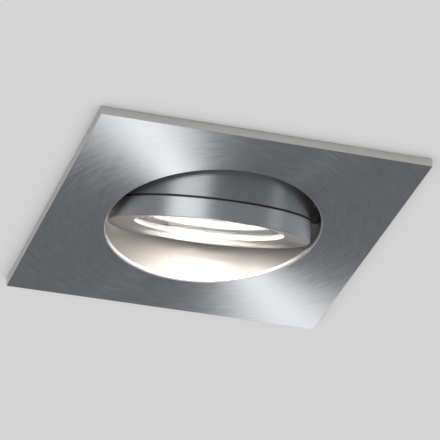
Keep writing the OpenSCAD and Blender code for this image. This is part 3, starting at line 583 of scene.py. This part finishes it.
# The body's aluminium is given a darker tone than the bezel's. This is painted shade for its place deep in
# the collar.
head_finish = turned_metal(
    "turned_body", (0.46, 0.47, 0.49), roughness=0.50, spread=0.88, streak=0.10, **lathe_lines)
body_r, thin_wall_r, spigot_r, bore_r, shoulder_r, groove_r = 30.5, 28, 28.6, 25.7, 23.7, 25.9
spigot_end, joint_h, shoulder_under, shoulder_top, body_top = 4.3, 6.57, 8.6, 12.6, 19.3
groove_from, groove_to = 4.55, 5.85
head = turned("head_shell", head_profile([
    (bore_r, spigot_end), (spigot_r, spigot_end), (spigot_r, joint_h), (body_r, joint_h), (body_r, body_top),
    (thin_wall_r, body_top), (thin_wall_r, shoulder_top), (shoulder_r, shoulder_top),
    (shoulder_r, shoulder_under), (bore_r, shoulder_under), (bore_r, groove_to), (groove_r, groove_to),
    (groove_r, groove_from), (bore_r, groove_from)]), steps=192)
for side in (-1, 1):
    bore_across(head, r=1.5 * mm, x=side * 27 * mm, reach=4 * mm, z=0)
    bore_across(head, r=3.3 * mm, x=side * 31.2 * mm, reach=1 * mm, z=0)
finish_edges(head, 0.22 * mm, segments=1, sharp=25)
# The bore's faces take the lip finish. Its lighter tone is painted lamp light.
inside_r, bore_painted_light = 26 * mm, 1
for face in head.data.polygons:
    if math.hypot(face.center.x, face.center.y) < inside_r:
        face.material_index = bore_painted_light
settle_on_head(head, (head_finish, lip_finish_painted_light), "head", "brushed_aluminium", "head_body")

lug_width, first_lug = 8, 60
for number in range(3):
    lug = turned("bayonet_lug_%d" % (number + 1), head_profile(section(28.5, 29.4, 4.5, 5.1)), steps=6,
                 sweep=lug_width, begin=first_lug + 120 * number - lug_width / 2)
    finish_edges(lug, 0.08 * mm)
    settle_on_head(lug, (head_finish,), "head", "brushed_aluminium")

seal_ring = turned("seal_ring", head_profile(section(spigot_r, 29.9, 6.03, joint_h)), steps=160)
finish_edges(seal_ring, 0.1 * mm)
settle_on_head(seal_ring, (rubber,), "head", "black_rubber", "ring_seal")


# Front bezel. A turned ring that holds the glass, with its dished face cut finer than its side; three slots
# in its bore take the lugs, and a short turn frees it for a new lamp.
bezel_finish = turned_metal(
    "turned_bezel", (0.60, 0.61, 0.63), roughness=0.50, spread=0.88, streak=0.10, **lathe_lines)
dish_finish = turned_metal(
    "turned_dish", (0.60, 0.59, 0.58), roughness=0.46, spread=0.4, streak=0.06, **lathe_lines)
clear_r, glass_seat_r, socket_r, bezel_r = 22.55, 25.5, 28.7, 30.49
dish_h, glass_seat_h, socket_floor, bezel_top = 1.2, 2.0, 4.2, 5.98
bezel = turned("dished_bezel", head_profile([
    (clear_r, dish_h), (30.25, 0.045), (bezel_r, 0.28), (bezel_r, 5.80), (30.31, bezel_top),
    (socket_r, bezel_top), (socket_r, socket_floor), (glass_seat_r, socket_floor),
    (glass_seat_r, glass_seat_h), (22.7, glass_seat_h), (clear_r, 1.85)]), steps=224)
slot_slack, bezel_turn = 0.6, 25
turning_slot, way_in = section(28.2, 29.5, 4.4, 5.2), section(28.1, 29.55, 4.6, 6.5)
for number in range(3):
    left = first_lug + 120 * number - lug_width / 2 - slot_slack
    for corners, begin, width in (
            (turning_slot, left, lug_width + bezel_turn + 1.5 * slot_slack),
            (way_in, left + bezel_turn, lug_width + 2 * slot_slack)):
        slot = turned("slot", head_profile(corners), steps=16, sweep=width, begin=begin)
        combine(bezel, slot, "DIFFERENCE")
finish_edges(bezel, 0.09 * mm, segments=1, angle=50, sharp=25)
# Inside its bore the bezel takes the lip finish, painted lighter for the lamp's light. Its dished face takes
# the dish finish.
above_dish, dish_metal = (dish_h + 0.05 - pivot_above_face) * mm, 2
for face in bezel.data.polygons:
    middle = face.center
    if math.hypot(middle.x, middle.y) < inside_r and middle.z > above_dish:
        face.material_index = bore_painted_light
    elif face.normal.z < -0.9:
        face.material_index = dish_metal
settle_on_head(bezel, (bezel_finish, lip_finish_painted_light, dish_finish), "bezel", "brushed_aluminium", "front_bezel")


# Front glass. A toughened clear disc with ground edges, held in the bezel on a flat silicone ring.
# Both leave with the bezel when the lamp is changed.
def clear_material(name, tint, roughness=0.0):
    """Clear glass that lets shadow rays pass, so that the lamp shines through it."""
    material, nodes, links, shader = new_material(name)
    shader.inputs["Base Color"].default_value = (*tint, 1)
    shader.inputs["IOR"].default_value = 1.46
    shader.inputs["Transmission Weight"].default_value = 1
    wipe_marks = noise(nodes, links, nodes.new("ShaderNodeTexCoord").outputs["Object"], scale=160)
    haze = 0.04
    links.new(remapped(nodes, links, wipe_marks, roughness, roughness + haze), shader.inputs["Roughness"])
    path = nodes.new("ShaderNodeLightPath").outputs
    clear_where(nodes, links, shader, maths(
        nodes, links, "MAXIMUM", path["Is Shadow Ray"], path["Is Diffuse Ray"]))
    return material


lens_r, lens_top, gasket_in, gasket_top = 25.3, 3.5, 22.95, 4.15
lens_glass = clear_material("toughened_glass", (0.98, 0.99, 0.985))
lens = turned(
    "front_lens", head_profile(section(0, lens_r, glass_seat_h, lens_top)), steps=160, closed=False)
finish_edges(lens, 0.15 * mm)
settle_on_head(lens, (lens_glass,), "bezel", "clear_glass", "front_glass")

flat_gasket = turned(
    "flat_gasket", head_profile(section(gasket_in, lens_r, lens_top, gasket_top)), steps=128)
finish_edges(flat_gasket, 0.08 * mm)
settle_on_head(flat_gasket, (rubber,), "bezel", "black_rubber", "glass_gasket")


# Reflector lamp. Pressed glass with a mirrored inside of small facets, each ring of them half a step round
# from the next; a clear disc closes it and a circlip holds its rim. Inside is a quartz capsule with a coiled
# filament; the ceramic base carries the two pins.
facet_columns, facet_rows = 32, 8
above_rim = 5.9


def lamp_profile(points):
    """Heights above the tilt axis, given as heights above the lamp's rim."""
    return head_profile([(r, h + above_rim) for r, h in points])


def lamp_height(h):
    """One height in metres above the tilt axis, given in mm above the lamp's rim."""
    return lamp_profile([(0, h)])[0][1] * mm


def bowl(neck_r, mouth_r, neck_h, mouth_h, crowding):
    """A bowl's side from its neck to its mouth; crowding draws the points together at the neck."""
    steps = [(k / facet_rows) ** crowding for k in range(facet_rows + 1)]
    return [(neck_r + (mouth_r - neck_r) * math.sqrt(t), neck_h + (mouth_h - neck_h) * t) for t in steps]


rim_r, rim_in, rim_top = 25.3, 23.5, 2.7
inside, outside = bowl(6.4, 22.3, 28, 1.6, 1.25), bowl(9.3, 23.2, 31, rim_top, 1.6)
rim = [(rim_in, 1.6), (rim_in, 0), (rim_r, 0), (rim_r, rim_top)]
reflector = turned(
    "mirror_reflector", lamp_profile([(5.2, 28.6)] + inside + rim + outside[::-1]), steps=facet_columns)
for row in range(1, facet_rows, 2):
    r, h = lamp_profile([inside[row]])[0]
    for corner in reflector.data.vertices:
        away = math.hypot(math.hypot(corner.co.x, corner.co.y) - r * mm, corner.co.z - h * mm)
        corner.select = away < 0.01 * mm
    only(reflector)
    bpy.context.tool_settings.mesh_select_mode = (True, False, False)
    bpy.ops.object.mode_set(mode="EDIT")
    bpy.ops.transform.rotate(value=math.pi / facet_columns, orient_axis="Z", center_override=(0, 0, 0))
    bpy.ops.mesh.select_all(action="DESELECT")
    bpy.ops.object.mode_set(mode="OBJECT")
# Each facet draws a random number, facet_glint, that sets its tone and how bright its painted glint is.
glint = reflector.data.attributes.new("facet_glint", "FLOAT", "FACE")
mirror_side, glass_side, painted_rim_side = range(3)
mirror_end, rim_face_r, rim_face_h = lamp_height(28.2), 23.3 * mm, lamp_height(1.7)
for face in reflector.data.polygons:
    middle = face.center
    facing_in = face.normal.x * middle.x + face.normal.y * middle.y < 0
    face.material_index = mirror_side if facing_in and middle.z < mirror_end else glass_side
    # The rim's faces near the mouth take a painted glow for the lamp's light seen in the pressed glass.
    if math.hypot(middle.x, middle.y) > rim_face_r and middle.z < rim_face_h:
        face.material_index = painted_rim_side
    face.use_smooth = not facing_in
    scattered = math.sin(face.index * 12.9898) * 43758.5453
    glint.data[face.index].value = scattered % 1

# The mirrored facets glow by emission, brighter on some facets than on others. This is a painted reflection
# of the lit capsule, laid over the real mirror.
facet_mirror_painted_glints, nodes, links, shader = new_material("facet_mirror_painted_glints")
shader.inputs["Metallic"].default_value = 1
shader.inputs["Roughness"].default_value = 0.16
shader.inputs["Emission Strength"].default_value = 2.9
read_glint = nodes.new("ShaderNodeAttribute")
read_glint.attribute_name = "facet_glint"
for name, dull, bright in (
        ("Base Color", (0.40, 0.40, 0.41), (0.60, 0.60, 0.61)),
        ("Emission Color", (0.56, 0.54, 0.51), (1.0, 0.97, 0.93))):
    links.new(mixed(nodes, links, dull, bright, read_glint.outputs["Fac"]), shader.inputs[name])
pressed_glass = plain_finish(
    "pressed_glass_back", (0.50, 0.51, 0.54), roughness=0.22, metallic=0.8, mottle=0.2, mottle_scale=140,
    grain_scale=900, relief=0.03, scratches=0.08)


def lit(material, colour, strength):
    """Makes a material give light."""
    shader = material.node_tree.nodes["Principled BSDF"]
    shader.inputs["Emission Color"].default_value = (*colour, 1)
    shader.inputs["Emission Strength"].default_value = strength


# The rim's glass is given an emission. This is a painted glow for the lamp's light in it, though the rim is
# no lamp.
rim_painted_glow = plain_finish(
    "glass_rim_painted_glow", (0.80, 0.80, 0.78), roughness=0.30, mottle=0.04, mottle_scale=300, grain_scale=3600)
lit(rim_painted_glow, (1.0, 0.97, 0.93), strength=0.42)
settle_on_head(reflector, (facet_mirror_painted_glints, pressed_glass, rim_painted_glow), "head", "mirror_glass", "lamp_reflector")

cover = turned("cover_disc", lamp_profile(section(0, 23.2, 0.5, 1.5)), steps=128, closed=False)
finish_edges(cover, 0.12 * mm)
lamp_glass = clear_material("lamp_cover", (0.99, 0.99, 0.985), roughness=0.01)
settle_on_head(cover, (lamp_glass,), "head", "clear_glass", "lamp_cover_glass")

capsule_r, hollow_r, capsule_h, pinch_h, pinch_size = 4.4, 3.6, 14, 27.1, (8, 3, 7.8)


def dome(r):
    """The capsule's round end, seen from the side, for its outside or its inside."""
    return [(r * math.sin(math.radians(a)), capsule_h - r * math.cos(math.radians(a)))
            for a in range(0, 91, 10)]


envelope = turned("quartz_envelope", lamp_profile(
    dome(capsule_r) + [(capsule_r, 21.5), (4.1, 22.6), (3.2, 23.5), (0, 23.5)]), steps=48, closed=False)
cavity = turned("cavity", lamp_profile(
    dome(hollow_r) + [(hollow_r, 20.7), (2.4, 22), (0, 22)]), steps=48, closed=False)
combine(envelope, cavity, "DIFFERENCE")
bpy.ops.mesh.primitive_cube_add(size=mm, location=(0, 0, lamp_height(pinch_h)))
pinch = start("pinch")
bpy.ops.transform.resize(value=pinch_size)
bpy.ops.object.mode_set(mode="OBJECT")
finish_edges(pinch, 0.5 * mm, segments=3)
combine(envelope, pinch, "UNION")
bpy.ops.object.shade_smooth_by_angle(angle=math.radians(40))
lit_quartz = clear_material("lit_quartz", (1, 0.99, 0.97), roughness=0.03)
lit(lit_quartz, (1.0, 0.965, 0.90), strength=1.6)
settle_on_head(envelope, (lit_quartz,), "head", "clear_glass", "lamp_capsule")


def wire(name, points, r, resolution=2):
    """A round wire: its middle line is traced point by point, then given its thickness."""
    traced(name, [Vector(point) for point in points])
    bpy.ops.object.mode_set(mode="OBJECT")
    bpy.ops.object.convert(target="CURVE")
    piece = bpy.context.active_object
    piece.data.bevel_depth = r
    piece.data.bevel_resolution = resolution
    piece.data.use_fill_caps = True
    bpy.ops.object.convert(target="MESH")
    piece = bpy.context.active_object
    piece.name = piece.data.name = name
    bpy.ops.object.mode_set(mode="EDIT")
    bpy.ops.mesh.select_all(action="SELECT")
    bpy.ops.mesh.remove_doubles(threshold=0.001 * mm)
    bpy.ops.mesh.normals_make_consistent(inside=False)
    bpy.ops.object.mode_set(mode="OBJECT")
    bpy.ops.object.shade_smooth_by_angle(angle=math.radians(50))
    return piece


filament_half, filament_step, filament_r, filament_h = 2.4 * mm, 0.05 * mm, 0.7 * mm, lamp_height(16)
filament_turns = [math.radians(22.5 * k) for k in range(97)]
filament = wire("coiled_filament", [
    (filament_step * k - filament_half, filament_r * math.cos(turn), filament_r * math.sin(turn) + filament_h)
    for k, turn in enumerate(filament_turns)], r=0.14 * mm, resolution=1)
glowing = plain_finish("glowing_tungsten", (0.60, 0.58, 0.55), roughness=0.4, metallic=1)
lit(glowing, (1.0, 0.86, 0.66), strength=6)
settle_on_head(filament, (glowing,), "head", "filament_wire", "lamp_filament")


def block(name, size, corner, low, high, base=None):
    """An upright block with rounded corners, between two heights, joined on to a base if one is given."""
    bpy.ops.mesh.primitive_cube_add(size=mm, location=(0, 0, (low + high) / 2 * mm))
    piece = start(name)
    bpy.ops.transform.resize(value=(*size, high - low))
    bpy.ops.mesh.select_all(action="DESELECT")
    bpy.ops.object.mode_set(mode="OBJECT")
    for edge in piece.data.edges:
        ends = [piece.data.vertices[number].co for number in edge.vertices]
        edge.select = abs(ends[0].z - ends[1].z) > mm
    bpy.ops.object.mode_set(mode="EDIT")
    bpy.ops.mesh.select_mode(type="EDGE")
    bpy.ops.mesh.bevel(offset=corner * mm, segments=8)
    bpy.ops.mesh.select_mode(type="VERT")
    bpy.ops.object.mode_set(mode="OBJECT")
    bpy.ops.object.transform_apply(location=True, rotation=True, scale=True)
    if base:
        combine(base, piece, "UNION")
    return base or piece


steatite = plain_finish(
    "steatite", (0.84, 0.81, 0.74), roughness=0.56, mottle=0.05, mottle_scale=400, grain_scale=4200,
    relief=0.010, scratches=0.08)
spring_steel = plain_finish(
    "spring_steel", (0.50, 0.51, 0.53), roughness=0.28, metallic=1, mottle=0.12, mottle_scale=240,
    grain_scale=3600, relief=0.002)
base_from, base_to = (above_rim - pivot_above_face + h for h in (31, 44.5))
base = turned("cemented_base", section(0, 8.7, base_from, base_from + 3), steps=96, closed=False)
block("cemented_base_top", (17, 11.4), corner=1.6, low=base_from + 2, high=base_to, base=base)
finish_edges(base, 0.3 * mm, segments=3)
settle_on_head(base, (steatite,), "head", "steatite", "lamp_base")
dress("contact_pins", "lamp_pins", 0.2, "head", "filament_wire", zinc, segments=3)
clip_r, clip_end_r, clip_end, clip_h = 25.25 * mm, 23.3 * mm, 166, (5.2 - pivot_above_face) * mm
clip_path = [(clip_r, a) for a in range(-clip_end, clip_end + 1, 4)]
circlip = wire("circlip_wire", [
    (r * math.sin(math.radians(a)), -r * math.cos(math.radians(a)), clip_h)
    for r, a in [(clip_end_r, -clip_end)] + clip_path + [(clip_end_r, clip_end)]], r=0.6 * mm)
settle_on_head(circlip, (spring_steel,), "head", "spring_steel", "lamp_circlip")


# Lamp light. The capsule and the facets light the collar's far wall, and the bore glows a little behind the
# glass. The wall is far brighter than white, and small lamps low on the plate's edge throw its light back on
# to the bezel's face.
def ride_lamp(light, place, aim, body):
    """Puts a light at its place, aims it and lets it ride; it isn't seen through the glass."""
    light.location = place
    light.rotation_euler = (-aim).to_track_quat("Z", "Y").to_euler()
    light.visible_transmission = False
    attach(light, body)


facet_light = new_light("facet_light", "AREA", 0.048, (1.0, 0.93, 0.87))
facet_light.data.shape = "DISK"
facet_light.data.size = 30 * mm
ride_lamp(facet_light, pivot + head_axis * (14 - pivot_above_face) * mm, -head_axis, "head")
capsule_light = new_light("capsule_light", "POINT", 0.042, (1.0, 0.94, 0.88))
capsule_light.data.shadow_soft_size = 3 * mm
ride_lamp(capsule_light, pivot + head_axis * lamp_height(16), -head_axis, "head")

glow_colour = (1.0, 0.94, 0.89)
level_to_tilted = Matrix.Rotation(tilt, 3, "X")
up = Vector((0, 0, 1))


def glow(name, watts, spread, size, place, aim, body):
    """A small flat lamp that stands for the light of a bright surface."""
    light = new_light(name, "AREA", watts, glow_colour)
    light.data.shape = "ELLIPSE"
    light.data.size, light.data.size_y = size[0] * mm, size[1] * mm
    light.data.spread = math.radians(spread)
    ride_lamp(light, place, aim, body)


def direction_at(around):
    """The level direction at an angle round the Z axis."""
    return Vector((math.cos(math.radians(around)), math.sin(math.radians(around)), 0))


bore_glow_r, bore_glow_h, wall_glow_r, wall_glow_h = 16 * mm, (4.6 - pivot_above_face) * mm, 31 * mm, 2 * mm
for number, around in enumerate((45, 67, 90, 113, 135)):
    outward = direction_at(around)
    glow("rim_glow_%d" % (number + 1), watts=0.00015, spread=70, size=(7, 1.6), body="head",
         place=pivot + level_to_tilted @ (outward * bore_glow_r + up * bore_glow_h),
         aim=level_to_tilted @ (outward + up * 0.25))
for number, (around, watts, spread) in enumerate((
        (30, 0.0003, 70), (45, 0.0005, 70), (60, 0.0005, 70), (75, 0.0007, 50), (90, 0.0014, 50),
        (105, 0.0006, 50), (120, 0.0002, 50))):
    outward = direction_at(around)
    glow("wall_glow_%d" % (number + 1), watts, spread, size=(12, 4), body="fixture",
         place=outward * wall_glow_r + up * wall_glow_h, aim=up - outward * 0.35)


# Pivots. A shoulder screw at each side goes through the collar into the head; a nylon spacer keeps the head
# central, and a dished spring washer gives the tilt its friction.
nylon = plain_finish(
    "grey_nylon", (0.10, 0.10, 0.105), roughness=0.45, mottle=0.06, mottle_scale=300, grain_scale=3000,
    relief=0.006, scratches=0.1)
dress("shoulder_screws", "pivot_screws", 0.12, "head", "zinc_steel", zinc)
dress("nylon_spacers", "pivot_spacers", 0.12, "head", "grey_nylon", nylon)
dress("dished_washers", "pivot_spring_washers", 0.05, "head", "spring_steel", spring_steel)


# Ceiling clips. At each side a folded bracket is riveted to the flange; a spring-steel arm turns on its pin,
# carries a red silicone sleeve against the board, and is pulled down by a torsion spring of round wire.
red_silicone = plain_finish(
    "red_silicone", (0.42, 0.055, 0.035), roughness=0.46, mottle=0.10, mottle_scale=220, grain_scale=3400,
    relief=0.008)
for name, node, width, body, slot, finish in (
        ("clip_bracket_front", "front_clip_bracket", 0.18, "fixture", "zinc_steel", zinc),
        ("clip_bracket_rear", "rear_clip_bracket", 0.18, "fixture", "zinc_steel", zinc),
        ("clip_arm_front", "front_clip_arm", 0.12, "front_clip", "spring_steel", spring_steel),
        ("clip_arm_rear", "rear_clip_arm", 0.12, "rear_clip", "spring_steel", spring_steel),
        ("arm_sleeve_front_", "front_arm_sleeve", 0.15, "front_clip", "red_silicone", red_silicone),
        ("arm_sleeve_rear_", "rear_arm_sleeve", 0.15, "rear_clip", "red_silicone", red_silicone),
        ("hinge_pins", "clip_pins", 0.25, "fixture", "zinc_steel", zinc),
        ("flange_rivets", "foot_rivets", 0.15, "fixture", "zinc_steel", zinc)):
    dress(name, node, width, body, slot, finish)

hinge_y, hinge_z, coil_r, coil_pitch, whole_turns, drop, coil_steps = 38.3, 14, 2.1, 1.5, 5, 14, 137
wall_leg, arm_leg = (9, 7, 5, 3.5, 1.5), (1.5, 4, 8, 12, 15)
coil_sweep = 360 * whole_turns + 270 - drop
coil_from = -whole_turns * coil_pitch / 2 - coil_pitch * (90 - drop) / 720
coil_to = coil_from + coil_pitch * coil_sweep / 360
coil = [(coil_from, hinge_y - coil_r, hinge_z - z) for z in wall_leg]
for k in range(coil_steps + 1):
    turn = math.radians(180 + coil_sweep * k / coil_steps)
    coil.append((coil_from + coil_pitch * coil_sweep * k / coil_steps / 360,
                 hinge_y + coil_r * math.cos(turn), hinge_z + coil_r * math.sin(turn)))
down, out = math.sin(math.radians(drop)), math.cos(math.radians(drop))
coil += [(coil_to, hinge_y + coil_r * down + u * out, hinge_z + coil_r * out - u * down) for u in arm_leg]
wire_r, held = 0.5, 0.6
for side, way in (("rear", 1), ("front", -1)):
    spring = wire("torsion_spring_" + side, [(way * x * mm, way * y * mm, z * mm) for x, y, z in coil],
                  r=wire_r * mm, resolution=3)
    spring.data.materials.append(spring_steel)
    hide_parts(side + "_clip_spring")
    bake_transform(spring)


# Lamp holder and leads. A ceramic socket pushed on the lamp's pins; two leads in braided glass sleeving bow
# over to the terminal box with enough slack for the tilt.
holder_from, holder_step, holder_to = (h - pivot_above_face for h in (50.6, 58, 60.4))
pin_x, pin_hole_r = 2.665 * mm, 1.05 * mm
holder = block("ceramic_socket", (18.4, 12), corner=2, low=holder_from, high=holder_step)
block("ceramic_socket_top", (14.6, 9), corner=2, low=holder_step - 1, high=holder_to, base=holder)
for way in (-1, 1):
    drill(holder, pin_hole_r, (holder_from - 1) * mm, (holder_to + 1) * mm, (way * pin_x, 0), sides=48)
    bpy.ops.mesh.primitive_cube_add(size=mm, location=(0, way * 6.4 * mm, (holder_from + 2.6) * mm))
    notch = bpy.context.active_object
    notch.scale = (6, 1.6, 7.2)
    combine(holder, notch, "DIFFERENCE")
finish_edges(holder, 0.3 * mm, segments=3)
settle_on_head(holder, (steatite,), "head", "steatite", "lamp_holder")

sleeving, nodes, links, shader = new_material("braided_sleeving")
place = nodes.new("ShaderNodeTexCoord").outputs["Object"]
strands = []
for lean in (0.9, -0.9):
    turn = nodes.new("ShaderNodeMapping")
    turn.inputs["Rotation"].default_value = (0, lean, lean)
    links.new(place, turn.inputs["Vector"])
    wave = nodes.new("ShaderNodeTexWave")
    wave.inputs["Scale"].default_value = 620
    wave.inputs["Distortion"].default_value = 0.6
    links.new(turn.outputs["Vector"], wave.inputs["Vector"])
    strands.append(wave.outputs["Fac"])
woven = maths(nodes, links, "MAXIMUM", *strands)
links.new(mixed(nodes, links, (0.60, 0.55, 0.45), (0.84, 0.80, 0.70), woven), shader.inputs["Base Color"])
raised(nodes, links, shader, woven, 0.06 * mm)
shader.inputs["Roughness"].default_value = 0.5

box_x, lead_gap, inlet_y, lid_z = -33.4 * mm, 1.6 * mm, -5.5 * mm, 62 * mm
socket_top, bow, bow_steps, held_by_socket, held_by_box = 50.1 * mm, 20 * mm, 36, 0.12, 0.14
for number, way in ((1, -1), (2, 1)):
    leaves = pivot + head_axis * socket_top + Vector((way * pin_x, 0, 0))
    enters = Vector((box_x + way * lead_gap, inlet_y, lid_z))
    pull_out, pull_in = leaves + head_axis * bow, enters + up * bow
    route = [leaves - head_axis * 2 * mm]
    for k in range(bow_steps + 1):
        t = k / bow_steps
        route.append((1 - t) ** 3 * leaves + 3 * t * (1 - t) ** 2 * pull_out
                     + 3 * t * t * (1 - t) * pull_in + t ** 3 * enters)
    route += [enters - up * (4 * mm), enters - up * (10 * mm)]
    lead = wire("sleeved_lead_%d" % number, route, r=0.87 * mm, resolution=3)
    lead.data.materials.append(sleeving)
    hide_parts("holder_leads")
    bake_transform(lead)


# Terminal box. A steel strap riveted to the flange carries a moulded box with its lid; inside are a two-pole
# block with brass screws and a clamp for the supply cable, which comes in through a rubber grommet.
moulded_white = plain_finish(
    "moulded_white", (0.80, 0.80, 0.78), roughness=0.48, mottle=0.03, mottle_scale=90, grain_scale=5200,
    relief=0.012, scratches=0.1)
natural_nylon = plain_finish(
    "natural_polyamide", (0.72, 0.71, 0.62), roughness=0.40, mottle=0.05, mottle_scale=200,
    grain_scale=3600, relief=0.006, scratches=0.1)
brass = plain_finish(
    "brass", (0.78, 0.60, 0.28), roughness=0.26, metallic=1, mottle=0.10, mottle_scale=420,
    grain_scale=4000, relief=0.002)
for name, node, width, slot, finish in (
        ("sheet_strap", "terminal_bracket", 0.2, "zinc_steel", zinc),
        ("moulded_box", "terminal_box", 0.25, "white_plastic", moulded_white),
        ("moulded_lid", "terminal_lid", 0.3, "white_plastic", moulded_white),
        ("two_pole_block", "terminal_block", 0.25, "terminal_plastic", natural_nylon),
        ("brass_screws", "terminal_screws", 0.1, "brass", brass),
        ("strap_screws", "box_screws", 0.15, "zinc_steel", zinc),
        ("lid_screws_", "lid_screws", 0.1, "zinc_steel", zinc),
        ("clamp_bar", "cable_clamp", 0.15, "white_plastic", moulded_white),
        ("clamp_screws_", "clamp_screws", 0.1, "zinc_steel", zinc)):
    dress(name, node, width, "fixture", slot, finish)
cable_r, neck_r, collar_r = 3, 3.85, 4.7
grommet = turned("rubber_grommet", [
    (cable_r, -2.7), (4.4, -2.7), (collar_r, -2.4), (collar_r, -1.5), (neck_r, -1.5), (neck_r, 0),
    (collar_r, 0), (collar_r, 0.6), (3.8, 1.6), (cable_r, 1.6)], steps=64)
finish_edges(grommet, 0.12 * mm)
grommet.location = (box_x, 5.2 * mm, lid_z)
settle(grommet, (rubber,), "fixture", "black_rubber", "inlet_grommet")
